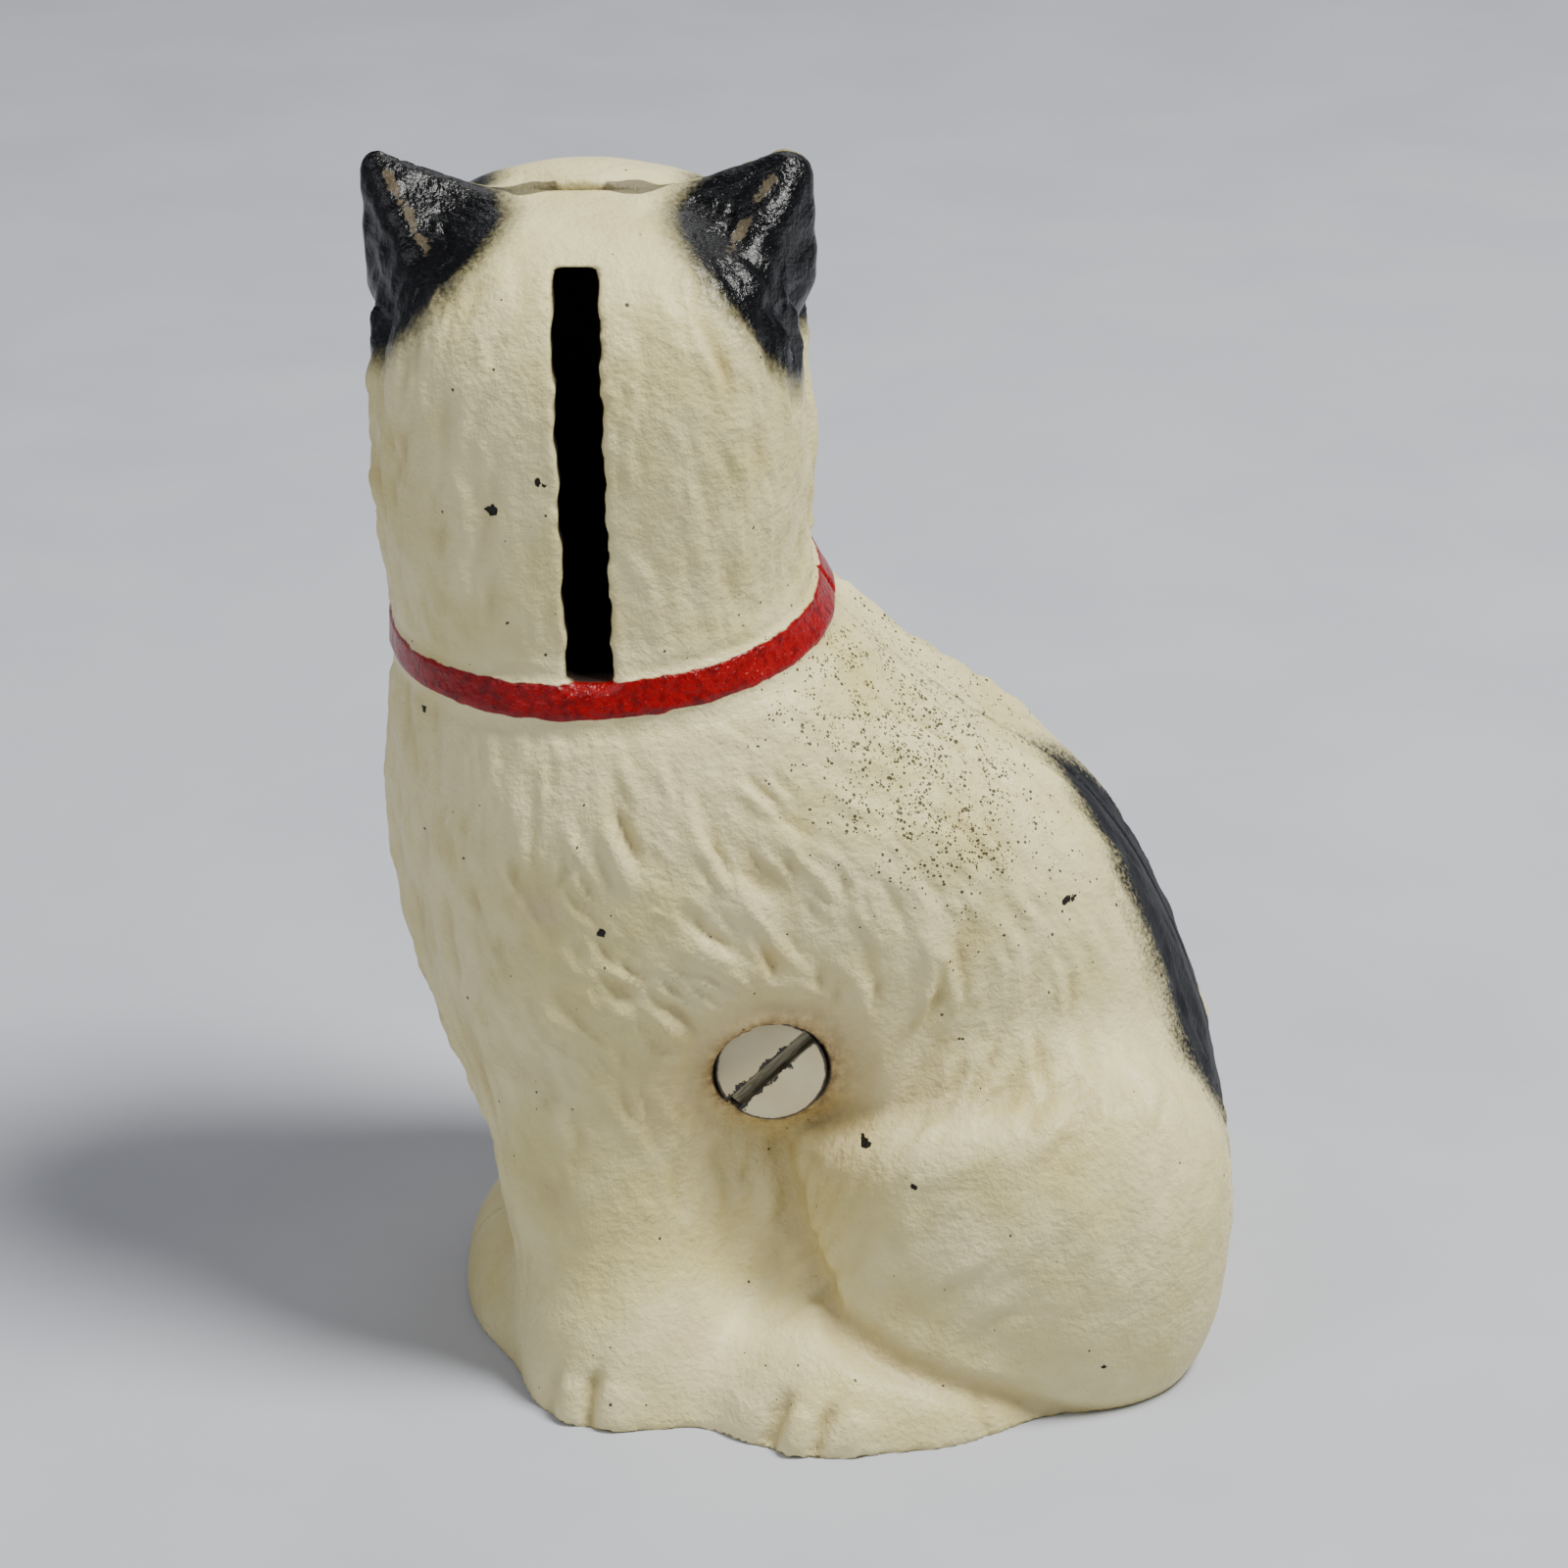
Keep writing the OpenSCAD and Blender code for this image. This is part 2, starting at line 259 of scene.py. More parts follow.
def slot_gap(p):
    """Distance to the coin slot's prism: its corners round, its edges uneven and leaning as cast."""
    z = p[:, 2]
    middle, half = (SLOT_BOTTOM + SLOT_TOP) / 2, (SLOT_TOP - SLOT_BOTTOM) / 2
    lean = SLOT_LEAN * (middle - z) / half
    left = SLOT_X - SLOT_WIDTH / 2 + 0.1 + lean + 0.13 * np.sin(z * 0.9) + 0.07 * np.sin(z * 2.3 + 1)
    right = SLOT_X + SLOT_WIDTH / 2 - 0.25 + lean + 0.1 * np.sin(z * 1.1 + 2) + 0.08 * np.sin(z * 2.9)
    across = np.maximum(left - p[:, 0], p[:, 0] - right) + SLOT_CORNER
    ends = np.abs(z - middle) - half + SLOT_CORNER
    outside_corner = np.hypot(np.maximum(across, 0), np.maximum(ends, 0))
    outline = outside_corner + np.minimum(np.maximum(across, ends), 0)
    return np.maximum(outline - SLOT_CORNER, p[:, 1] - SLOT_END)


def casting(p, side):
    """Distance to one half: side -1 has the slot, side 1 the face."""
    skin = outside(p)
    away = screw_axis_distance(p)
    post = away - POST_RADIUS
    hollow = np.maximum(skin + WALL, -post)
    d = np.maximum(skin, -hollow)
    d = np.maximum(d, SEAM_GAP / 2 - side * p[:, 1])
    bore = away - (SHANK_RADIUS + BORE_CLEARANCE)
    if side < 0:
        cone = away - (HEAD_RADIUS + SEAT_CLEARANCE) + np.maximum(
            p[:, 1] - SCREW_FACE - HEAD_LAND, 0) * math.tan(HEAD_ANGLE / 2)
        seat = np.maximum(cone * 0.8, p[:, 1] - SCREW_FACE - HEAD_LAND - CONE_HEIGHT)
        d = np.maximum(d, -np.minimum(bore, seat))
        return np.maximum(d, -slot_gap(p))
    return np.maximum(d, -np.maximum(bore, p[:, 1] - (SCREW_HIGH[1] + 1)))


# ------------------------------------------------------------------ a mesh round a distance field

def grid_points(axes, mask):
    i, j, k = np.nonzero(mask)
    return np.column_stack((axes[0][i], axes[1][j], axes[2][k]))


def sampled(field, low, high, step):
    """The field on a fine grid, worked out only where the surface passes."""
    coarse = 4
    cells = np.ceil((np.array(high) - low) / (step * coarse)).astype(int)
    rough_axes = [low[a] + step * coarse * np.arange(cells[a] + 1) for a in range(3)]
    rough = field(grid_points(rough_axes, np.ones(cells + 1, bool))).reshape(cells + 1)
    near = np.abs(rough) < 1.25 * step * coarse
    values = np.repeat(np.repeat(np.repeat(rough, coarse, 0), coarse, 1), coarse, 2)
    marked = np.repeat(np.repeat(np.repeat(near, coarse, 0), coarse, 1), coarse, 2)
    size = cells * coarse + 1
    shift = coarse // 2
    values = np.roll(values, (-shift,) * 3, (0, 1, 2))[:size[0], :size[1], :size[2]].copy()
    marked = np.roll(marked, (-shift,) * 3, (0, 1, 2))[:size[0], :size[1], :size[2]]
    axes = [low[a] + step * np.arange(size[a]) for a in range(3)]
    values[marked] = field(grid_points(axes, marked))
    return values, axes


def net(field, low, high, step):
    """Surface net: one point in each cell the surface crosses, joined in squares."""
    values, axes = sampled(field, np.array(low, float), np.array(high, float), step)
    inside = values < 0
    n = np.array(values.shape)
    count = np.zeros(n - 1, np.int8)
    corners = [(a, b, c) for a in (0, 1) for b in (0, 1) for c in (0, 1)]
    for a, b, c in corners:
        count += inside[a:n[0] - 1 + a, b:n[1] - 1 + b, c:n[2] - 1 + c]
    crossed = (count > 0) & (count < 8)
    cell = np.argwhere(crossed)
    number = np.full(crossed.shape, -1)
    number[tuple(cell.T)] = np.arange(len(cell))
    total, hits = np.zeros((len(cell), 3)), np.zeros(len(cell))
    for corner in corners:
        for axis in range(3):
            if corner[axis]:
                continue
            other = list(corner)
            other[axis] = 1
            va, vb = values[tuple((cell + corner).T)], values[tuple((cell + other).T)]
            cut = (va < 0) != (vb < 0)
            place = np.tile(np.array(corner, float), (len(cell), 1))
            place[cut, axis] = (va / np.where(cut, va - vb, 1))[cut]
            total[cut] += place[cut]
            hits[cut] += 1
    points = np.array([axis[0] for axis in axes]) + step * (cell + total / hits[:, None])
    squares = []
    for axis in range(3):
        first, second = [slice(None)] * 3, [slice(None)] * 3
        first[axis], second[axis] = slice(0, -1), slice(1, None)
        change = np.argwhere(inside[tuple(first)] != inside[tuple(second)])
        u, v = [a for a in range(3) if a != axis]
        change = change[(change[:, u] > 0) & (change[:, v] > 0)]
        leaving = inside[tuple(change.T)]
        ring = []
        for du, dv in ((0, 0), (1, 0), (1, 1), (0, 1)):
            at = change.copy()
            at[:, u] -= du
            at[:, v] -= dv
            ring.append(number[tuple(at.T)])
        ring = np.stack(ring, 1)
        flip = ~leaving if axis != 1 else leaving
        ring[flip] = ring[flip][:, ::-1]
        squares.append(ring)
    return points, np.concatenate(squares)


def gradient(field, p, e=0.05):
    g = np.empty_like(p)
    for axis in range(3):
        step = np.zeros(3)
        step[axis] = e
        g[:, axis] = (field(p + step) - field(p - step)) / (2 * e)
    return g


# ------------------------------------------------------------------ relief: hair, creases, collar

# the way the hair lies on the flank: (x, z), its angle in degrees, 0 towards the rump and -90 down,
# and how boldly it is cut
HAIR_FLOW = [
    ((-30, 92), -100, 0.7), ((-30, 80), -95, 0.6), ((-12, 92), -84, 0.7), ((-8, 80), -80, 0.5),
    ((-19, 70), -88, 0.4), ((-19, 103), -90, 0.15), ((-33, 57), -92, 0.4), ((-26, 56), -97, 0.8),
    ((-16, 57), -80, 1.3), ((-6, 60), -55, 0.9), ((4, 57), -42, 0.35), ((-34, 44), -82, 0.4),
    ((-25, 44), -62, 0.8), ((-14, 50), -58, 1.3), ((-10, 43), -40, 1.0), ((-5, 50), -62, 1.3),
    ((2, 44), -75, 1.0), ((8, 50), -62, 0.6), ((20, 45), -55, 0.3), ((-27, 34), -65, 0.7),
    ((-16, 36), -62, 1.0), ((6, 36), -112, 1.8), ((13, 36), -112, 1.6), ((20, 37), -95, 0.5),
    ((29, 35), -80, 0.3), ((-22, 25), -78, 0.5), ((-18, 15), -85, 0.2), ((8, 26), -125, 0.35),
    ((20, 24), -135, 0.45), ((31, 22), -115, 0.3), ((5, 14), -140, 0.3), ((18, 12), -155, 0.4),
    ((30, 10), -130, 0.3),
]

# cut lines as cast, on both sides: points (x, z), their depth, raised when negative, and half width
CREASES = [
    ([(-3.5, 22.5), (-2.3, 15), (1.2, 9.4), (5.9, 7.2), (14, 4.1), (21, 0.8), (27, -2)], 1.25, 1.35),
    ([(0, 25.6), (6, 28.0), (13, 29.8), (20, 30.2), (27, 29.8)], 1.0, 1.7),
    ([(2, 22.4), (8, 24.8), (15, 26.4), (23, 26.8)], -0.6, 2.5),
    ([(-23.9, 0), (-23.5, 3), (-22.8, 5)], 0.5, 0.6),
    ([(-20.5, -1), (-20.2, 3.2), (-19.2, 5.8)], 1.1, 0.65),
    ([(-4.9, -1), (-3.7, 3.0), (-2.2, 5.8)], 1.15, 0.75),
    ([(-0.7, -1), (0.2, 2.6), (1.7, 5.0)], 1.0, 0.6),
    ([(14.8, 0), (14.0, 4.4)], 0.45, 0.5),
    ([(-22.2, 1.0), (-21.4, 4.5)], -0.6, 1.3),
    ([(-18.2, 1.0), (-17.2, 4.5)], -0.5, 1.6),
    ([(-2.5, 1.0), (-1.3, 4.6)], -0.7, 1.3),
    ([(-7.2, 1.0), (-6.2, 4.4)], -0.4, 1.6),
    ([(2.6, 1.0), (3.6, 4.2)], -0.5, 1.6),
]


def collar_middle(p):
    u = p[:, 0] - SLOT_X
    return COLLAR_MIDDLE + COLLAR_TILT * u + COLLAR_CURVE * u * u


def collar_inset(p):
    """How far a point lies within the collar band, in mm, negative off it."""
    return COLLAR_WIDTH / 2 - np.abs(p[:, 2] - collar_middle(p))


def path_distance(p, path):
    """Distance in the x-z plane to a line through points, and how far along it, 0 to 1."""
    best, along = np.full(len(p), FAR), np.zeros(len(p))
    for i, (a, b) in enumerate(zip(path[:-1], path[1:])):
        a, b = np.array(a, float), np.array(b, float)
        q = p[:, (0, 2)] - a
        d = b - a
        t = np.clip(q @ d / (d @ d), 0, 1)
        away = np.linalg.norm(q - t[:, None] * d, axis=1)
        closer = away < best
        best[closer] = away[closer]
        along[closer] = ((i + t) / (len(path) - 1))[closer]
    return best, along


def hair_direction(p):
    """The flow's unit vectors in x and z at some points, and the boldness there."""
    total, bold, weights = np.zeros((len(p), 2)), np.zeros(len(p)), np.zeros(len(p))
    for (x, z), angle, strength in HAIR_FLOW:
        weight = 1 / ((p[:, 0] - x) ** 2 + (p[:, 2] - z) ** 2 + 6) ** 1.5
        total += weight[:, None] * np.array((math.cos(math.radians(angle)), math.sin(math.radians(angle))))
        bold += weight * strength
        weights += weight
    return total / np.linalg.norm(total, axis=1)[:, None], bold / weights


def face_distance(p):
    return np.hypot(p[:, 0] - FACE_MIDDLE[0], p[:, 2] - FACE_MIDDLE[1])


def hairless(p):
    """1 where the casting is smooth: paws, ears, collar, face and round the screw."""
    paws = 1 - smoothstep(4, 13, p[:, 2] - 0.08 * np.abs(p[:, 0]))
    ear = 0.5 - 0.5 * smoothstep(0.2, 2.5, ears(p))
    collar = smoothstep(-2.2, -0.4, collar_inset(p))
    face = np.where(p[:, 1] > 0, 1 - smoothstep(9, 15, face_distance(p)), 0)
    dish = 1 - smoothstep(6, 10, screw_axis_distance(p))
    dish = np.where(p[:, 1] < 0, dish, 0)
    crown = smoothstep(100, 103, p[:, 2])
    return np.max([paws * 0.85, ear, collar, face * 0.9, dish, crown * 0.8], axis=0)


def hair_locks(points, normals, weight, rng, number, length, width, height):
    """Raised strokes with a groove beside each, laid along the hair's flow."""
    relief = np.zeros(len(points))
    tree = kdtree.KDTree(len(points))
    for i, point in enumerate(points):
        tree.insert(point, i)
    tree.balance()
    facing = np.clip(np.abs(normals[:, 1]), 0.15, 1)
    chance = weight / facing
    roots = rng.choice(len(points), number, p=chance / chance.sum())
    flow, bold = hair_direction(points[roots])
    for root, (dx, dz), strength in zip(roots, flow, bold):
        normal = normals[root]
        turn = rng.normal(0, 0.16)
        along = np.array((dx * math.cos(turn) - dz * math.sin(turn), 0,
                          dx * math.sin(turn) + dz * math.cos(turn)))
        along -= normal * (along @ normal)
        along /= np.linalg.norm(along)
        across = np.cross(normal, along)
        reach = length * rng.uniform(0.6, 1.3) / 2
        wide = width * rng.uniform(0.7, 1.35)
        tall = strength * height * rng.uniform(0.5, 1.4)
        curl = rng.normal(0, 0.035)
        found = [i for _, i, _ in tree.find_range(points[root], reach + 2 * wide)]
        q = points[found] - points[root]
        u, v = q @ along, q @ across
        v = v - curl * u * u - 0.25 * wide * np.sin(u * 2.2 / wide * 0.35)
        fade = np.clip(1 - (u / reach) ** 2, 0, 1) ** 1.5
        taper = 1 - 0.35 * np.clip(u / reach, -1, 1)
        v = v / (wide * taper)
        relief[found] += tall * fade * (np.exp(-v * v * 2.2) - 0.9 * np.exp(-(v - 1.15) ** 2 * 4))
    return relief


def lump(p, size, seed):
    """Slow, smooth unevenness of a hand-finished pattern, about -1 to 1."""
    rng = np.random.default_rng(seed)
    total = np.zeros(len(p))
    for _ in range(7):
        wave = rng.normal(0, 1, 3)
        wave *= 2 * math.pi / (size * rng.uniform(0.7, 1.5)) / np.linalg.norm(wave)
        total += np.sin(p @ wave + rng.uniform(0, 2 * math.pi))
    return total / 3.5


def carved(points, side):
    """Moves the skin's points out and in by the relief; returns them and what the paint needs."""
    skin = outside(points)
    skin_point = skin > -0.75
    p = points[skin_point]
    slope = gradient(outside, p)
    square = (slope**2).sum(1) + 1e-9
    exact = np.abs(skin[skin_point]) < 0.2
    exact &= side * p[:, 1] > SEAM_GAP / 2 + 0.05
    exact &= p[:, 2] > 0.05
    # how free a point is of the machined and cored edges, 0 on them
    free = smoothstep(0.0, 0.8, side * p[:, 1] - SEAM_GAP / 2 + 0.1)
    if side < 0:
        free *= smoothstep(0.2, 1.0, slot_gap(p)) * smoothstep(HEAD_RADIUS + 0.35, HEAD_RADIUS + 2.2,
                                                               screw_axis_distance(p))
        exact &= (slot_gap(p) > 0.25) & (screw_axis_distance(p) > HEAD_RADIUS + 0.3)
    p = p - np.where(exact, skin[skin_point] / square, 0)[:, None] * slope
    normal = slope / np.sqrt(square)[:, None]

    rng = np.random.default_rng(11 if side < 0 else 12)
    smooth = hairless(p)
    hair = 1 - smooth
    share = 1
    locks = hair_locks(p, normal, hair, rng, int(150 * share), 12, 2.4, 0.34)
    locks += hair_locks(p, normal, hair, rng, int(600 * share), 9, 1.2, 0.34)
    locks += hair_locks(p, normal, hair, rng, int(1800 * share), 5.5, 0.75, 0.22)
    fine = hair_locks(p, normal, hair, rng, int(3000 * share), 3.2, 0.48, 0.11)
    # the hair dies out towards the seam, where the two patterns had to meet
    hair = hair * (0.15 + 0.85 * smoothstep(0, 7, side * p[:, 1]))
    relief = hair * (locks + fine) + 0.2 * lump(p, 15, 3) * hair + 0.05 * lump(p, 5, 4)

    crease = np.zeros(len(p))
    for path, depth, width in CREASES:
        away, along = path_distance(p, path)
        ends = 1 - smoothstep(0.6, 1, along) * 0.85
        facing = smoothstep(0.12, 0.4, np.abs(normal[:, 1]))
        crease += depth * ends * np.exp(-(away / width) ** 2) * facing
    if side > 0:
        lips = np.min([path_distance(p, path)[0] for path in MOUTH], axis=0)
        relief -= 0.45 * np.exp(-(lips / 0.5) ** 2)

    band = collar_inset(p)
    relief += COLLAR_RISE * smoothstep(-0.35, 0.25, band)
    relief -= 0.22 * np.exp(-((p[:, 2] - collar_middle(p) + COLLAR_WIDTH / 2 + 1.3) / 0.8) ** 2)
    relief += 0.15 * np.exp(-((p[:, 2] - collar_middle(p) - COLLAR_WIDTH / 2 - 1.6) / 0.6) ** 2)
    away = screw_axis_distance(p)
    if side < 0:
        relief -= 0.35 * np.exp(-((away - 7) / 1.6) ** 2)

    relief += 0.14 * lump(p, 2.6, 9) * (1 - smoothstep(0, 3, ears(p)))
    # towards the flat base the relief dies out, the toe lines last
    relief *= smoothstep(0.3, 2.2, p[:, 2]) * free
    relief -= crease * smoothstep(-0.7, 0.7, p[:, 2]) * free
    if side > 0:
        # the face half's crown stands a little proud of the other's, as the two castings differ
        dome = 0.3 + 0.6 * np.exp(-((p[:, 0] + 19.8) / 6) ** 2)
        relief += dome * smoothstep(100, 103, p[:, 2]) * smoothstep(0.5, 3, ears(p))
    p = p + relief[:, None] * normal
    margin = 0.02
    p = np.clip(p, CAD_LOW + (margin, margin, 0), CAD_HIGH - margin)
    moved = points.copy()
    moved[skin_point] = p
    groove = np.zeros(len(points))
    groove[skin_point] = np.clip(-(locks * hair) * 2.2 + np.maximum(crease, 0) * 1.2, 0, 1)
    return moved, skin, groove


# ------------------------------------------------------------------ paint marks kept on the mesh

# what a mark that is a distance reads away from it, in mm
UNMARKED = 9.0
EAR_PAINT = [((-36.0, 5.0, 102.0), 10.4), ((-3.0, 4.6, 99.6), 10.6)]
EAR_WEAR = [((-36.2, -1.8, 106.3), (-31.4, -9.6, 99.6)), ((-3.6, -1.6, 106.6), (-8.2, -8.8, 100.6))]
EYES = [(-27.0, 88.4), (-11.6, 88.4)]
EYE_RADII = (3.1, 2.3)
NOSE, NOSE_SHAPE = (-19.3, 22.0, 82.9), (1.1, 1.1, 0.85)
MOUTH = [[(-19.3, 81.2), (-19.3, 78.8)], [(-19.3, 78.8), (-20.6, 77.4), (-22.6, 77.2), (-24.2, 78.0)],
         [(-19.3, 78.8), (-18.0, 77.4), (-16.0, 77.2), (-14.4, 78.0)]]
# how far the airbrushed back patch reaches round from the seam: (height, reach)
BACK_PATCH = [(9, -5), (14, 5), (20, 11), (27, 11), (34, 9.3), (41, 8.6), (46, 7), (50, 4.4),
              (53.5, 0.6), (58, -4.5)]


def paint_marks(p, skin, groove, side):
    """Point values the enamel reads: where each colour and each wear lies."""
    q = np.abs(p) * (0, 1, 0) + p * (1, 0, 1)
    ear_black = np.max([(radius - (1.6 if side > 0 else 0) - np.linalg.norm(q - centre, axis=1)) / 3.8
                        for centre, radius in EAR_PAINT], axis=0)
    heights, reach = np.array(BACK_PATCH, float).T
    spread = np.mean([np.interp(p[:, 2] + shift, heights, reach) for shift in (-3, -1.5, 0, 1.5, 3)], axis=0)
    patch = (spread + 0.8 * lump(p, 9, 6) - q[:, 1]) / 5.5
    patch = np.where(p[:, 0] > 14, patch, -1)
    wear = np.full(len(p), UNMARKED)
    if side < 0:
        for a, b in EAR_WEAR:
            wear = np.minimum(wear, limb(p, a, 0, b, 0))
    away = screw_axis_distance(p)
    lean = (p[:, 0] - SCREW_X - (p[:, 2] - SCREW_Z)) / np.maximum(away, 1) * 0.5
    halo = np.exp(-np.maximum(away - HEAD_RADIUS, 0) / (1.1 + 0.5 * lean)) if side < 0 else 0 * away
    u, v = p[:, 0] - SPECKLE_MIDDLE[0], p[:, 2] - SPECKLE_MIDDLE[1]
    along, over = (u - v) / math.sqrt(2), (u + v) / math.sqrt(2)
    speckle = np.exp(-(along / 10) ** 2 - (over / 4.6) ** 2) * (1 if side < 0 else 0.4)
    eye, slit, nose, mouth = (np.full(len(p), UNMARKED) for _ in range(4))
    if side > 0:
        for x, z in EYES:
            here = np.hypot((p[:, 0] - x) / EYE_RADII[0], (p[:, 2] - z) / EYE_RADII[1])
            closer = here < eye
            slit[closer] = np.abs(p[closer, 0] - x)
            eye = np.minimum(eye, here)
        nose = np.linalg.norm((p - NOSE) / NOSE_SHAPE, axis=1)
        eye = np.where(face_distance(p) < 20, eye, UNMARKED)
        mouth = np.min([path_distance(p, path)[0] for path in MOUTH], axis=0)
    # on the crown the joint is packed with dirt in two places and clean between them
    spots = np.exp(-((p[:, 0] + 25) / 2.8) ** 2) + np.exp(-((p[:, 0] + 15) / 2.8) ** 2)
    crown_dirt = np.where(p[:, 2] > 101.5, 2.6 * spots - 0.8, 0)
    return {
        "black": np.clip(np.maximum(ear_black, patch), -1, 1),
        "seam": np.clip(np.abs(p[:, 1]) - SEAM_GAP / 2 - crown_dirt, -2, UNMARKED),
        "collar": np.clip(collar_inset(p), -3, 3),
        "bare": 1 - smoothstep(-0.9, -0.3, skin),
        "halo": halo, "speckle": speckle, "groove": groove, "wear": np.clip(wear, 0, UNMARKED),
        "eye": np.clip(eye, 0, UNMARKED), "slit": slit, "nose": np.clip(nose, 0, UNMARKED),
        "mouth": np.clip(mouth, 0, UNMARKED),
    }


def mesh_from(name, points, faces):
    mesh = bpy.data.meshes.new(name)
    mesh.from_pydata((points * MM).tolist(), [], faces.tolist() if hasattr(faces, "tolist") else faces)
    mesh.update()
    mesh.shade_smooth()
    return mesh


def coordinates(mesh):
    flat = np.empty(len(mesh.vertices) * 3)
    mesh.vertices.foreach_get("co", flat)
    return flat.reshape(-1, 3) / MM


def plain_copy(obj, name):
    """The object's evaluated shape as a mesh object with no modifiers."""
    shape = bpy.data.meshes.new_from_object(obj.evaluated_get(bpy.context.evaluated_depsgraph_get()))
    shape.name = name
    bpy.data.objects.remove(obj)
    made = bpy.data.objects.new(name, shape)
    bpy.context.scene.collection.objects.link(made)
    return made


def close_skin(mesh):
    """Leaves one closed skin: drops crumbs cut off from it and closes pinholes."""
    work = bmesh.new()
    work.from_mesh(mesh)
    bmesh.ops.remove_doubles(work, verts=work.verts, dist=0.002 * MM)
    bmesh.ops.dissolve_degenerate(work, edges=work.edges, dist=0.001 * MM)
    work.verts.ensure_lookup_table()
    seen, largest = set(), []
    for start in work.verts:
        if start in seen:
            continue
        seen.add(start)
        island, front = [start], [start]
        while front:
            for edge in front.pop().link_edges:
                for vert in edge.verts:
                    if vert not in seen:
                        seen.add(vert)
                        island.append(vert)
                        front.append(vert)
        if len(island) > len(largest):
            largest = island
    kept = set(largest)
    bmesh.ops.delete(work, geom=[v for v in work.verts if v not in kept], context="VERTS")
    bmesh.ops.delete(work, geom=[e for e in work.edges if not e.link_faces], context="EDGES")
    bmesh.ops.holes_fill(work, edges=[e for e in work.edges if e.is_boundary], sides=12)
    work.to_mesh(mesh)
    work.free()


def thinned_inside(name, points, faces):
    """Takes points away on the hollow's hidden wall, where nothing fine shows."""
    obj = bpy.data.objects.new(name, mesh_from(name, points, faces))
    bpy.context.scene.collection.objects.link(obj)
    inner = outside(points) < -1.2
    group = obj.vertex_groups.new(name="hollow")
    group.add(np.nonzero(inner)[0].tolist(), 1, "REPLACE")
    thin = obj.modifiers.new("thin", "DECIMATE")
    thin.vertex_group = "hollow"
    thin.ratio = 1 - 0.8 * inner.mean()
    obj = plain_copy(obj, name)
    close_skin(obj.data)
    return obj


def cast_half(name, side):
    low = (-41, -36 if side < 0 else 0, -1.2)
    high = (41, 0 if side < 0 else 37, 110)
    points, faces = net(lambda p: casting(p, side), low, high, STEP)
    half = thinned_inside(name, points, faces)
    points, skin, groove = carved(coordinates(half.data), side)
    half.data.vertices.foreach_set("co", (points * MM).ravel())
    for mark, values in paint_marks(points, skin, groove, side).items():
        half.data.attributes.new(mark, "FLOAT", "POINT").data.foreach_set("value", values)
    half.data.update()
    return half


# ------------------------------------------------------------------ the screw

def lathe(name, profile, steps):
    """A closed turned body about the screw's axis from (radius, y) points, first and last on it."""
    verts, faces = [(SCREW_X, profile[0][1], SCREW_Z)], []
    for radius, y in profile[1:-1]:
        for i in range(steps):
            turn = 2 * math.pi * i / steps
            verts.append((SCREW_X + radius * math.cos(turn), y, SCREW_Z + radius * math.sin(turn)))
    verts.append((SCREW_X, profile[-1][1], SCREW_Z))
    rings = len(profile) - 2
    for i in range(steps):
        j = (i + 1) % steps
        faces.append((0, 1 + i, 1 + j))
        for r in range(rings - 1):
            a = 1 + r * steps
            faces.append((a + i, a + steps + i, a + steps + j, a + j))
        last = 1 + (rings - 1) * steps
        faces.append((last + i, len(verts) - 1, last + j))
    mesh = mesh_from(name, np.array(verts), faces)
    work = bmesh.new()
    work.from_mesh(mesh)
    bmesh.ops.recalc_face_normals(work, faces=work.faces)
    work.to_mesh(mesh)
    work.free()
    obj = bpy.data.objects.new(name, mesh)
    bpy.context.scene.collection.objects.link(obj)
    return obj


def add_node(tree, kind, inputs=None, **settings):
    """Adds a node, sets its properties, then fills its inputs with values or links."""
    node = tree.nodes.new(kind)
    for key, value in settings.items():
        setattr(node, key, value)
    for key, value in (inputs or {}).items():
        socket = node.inputs[key]
        if isinstance(value, bpy.types.NodeSocket):
            tree.links.new(value, socket)
        else:
            socket.default_value = value
    return node


def thread_tree():
    """Winds a sharp ridge round a core, along +Z from the origin, as a right-hand thread."""
    tree = bpy.data.node_groups.new("rolled_screw_thread", "GeometryNodeTree")
    sizes = {}
    for label, kind in (("Turns", "NodeSocketFloat"), ("Pitch", "NodeSocketFloat"),
                        ("Root radius", "NodeSocketFloat"), ("Ridge", "NodeSocketFloat"),
                        ("Material", "NodeSocketMaterial")):
        sizes[label] = tree.interface.new_socket(label, in_out="INPUT", socket_type=kind).identifier
    tree.interface.new_socket("Geometry", in_out="OUTPUT", socket_type="NodeSocketGeometry")
    given = add_node(tree, "NodeGroupInput")
    rise = add_node(tree, "ShaderNodeMath", {0: given.outputs["Turns"], 1: given.outputs["Pitch"]},
                    operation="MULTIPLY")
    helix = add_node(tree, "GeometryNodeCurveSpiral", {
        "Resolution": 28, "Rotations": given.outputs["Turns"], "Start Radius": given.outputs["Root radius"],
        "End Radius": given.outputs["Root radius"], "Height": rise.outputs[0]})
    upright = add_node(tree, "GeometryNodeSetCurveNormal", {"Curve": helix.outputs[0]}, mode="Z_UP")
    ridge = add_node(tree, "GeometryNodeCurvePrimitiveCircle",
                     {"Resolution": 4, "Radius": given.outputs["Ridge"]})
    wound = add_node(tree, "GeometryNodeCurveToMesh", {
        "Curve": upright.outputs[0], "Profile Curve": ridge.outputs[0], "Fill Caps": True})
    real = add_node(tree, "GeometryNodeRealizeInstances", {0: wound.outputs[0]})
    steel = add_node(tree, "GeometryNodeSetMaterial",
                     {"Geometry": real.outputs[0], "Material": given.outputs["Material"]})
    add_node(tree, "NodeGroupOutput", {"Geometry": steel.outputs[0]})
    return tree, sizes


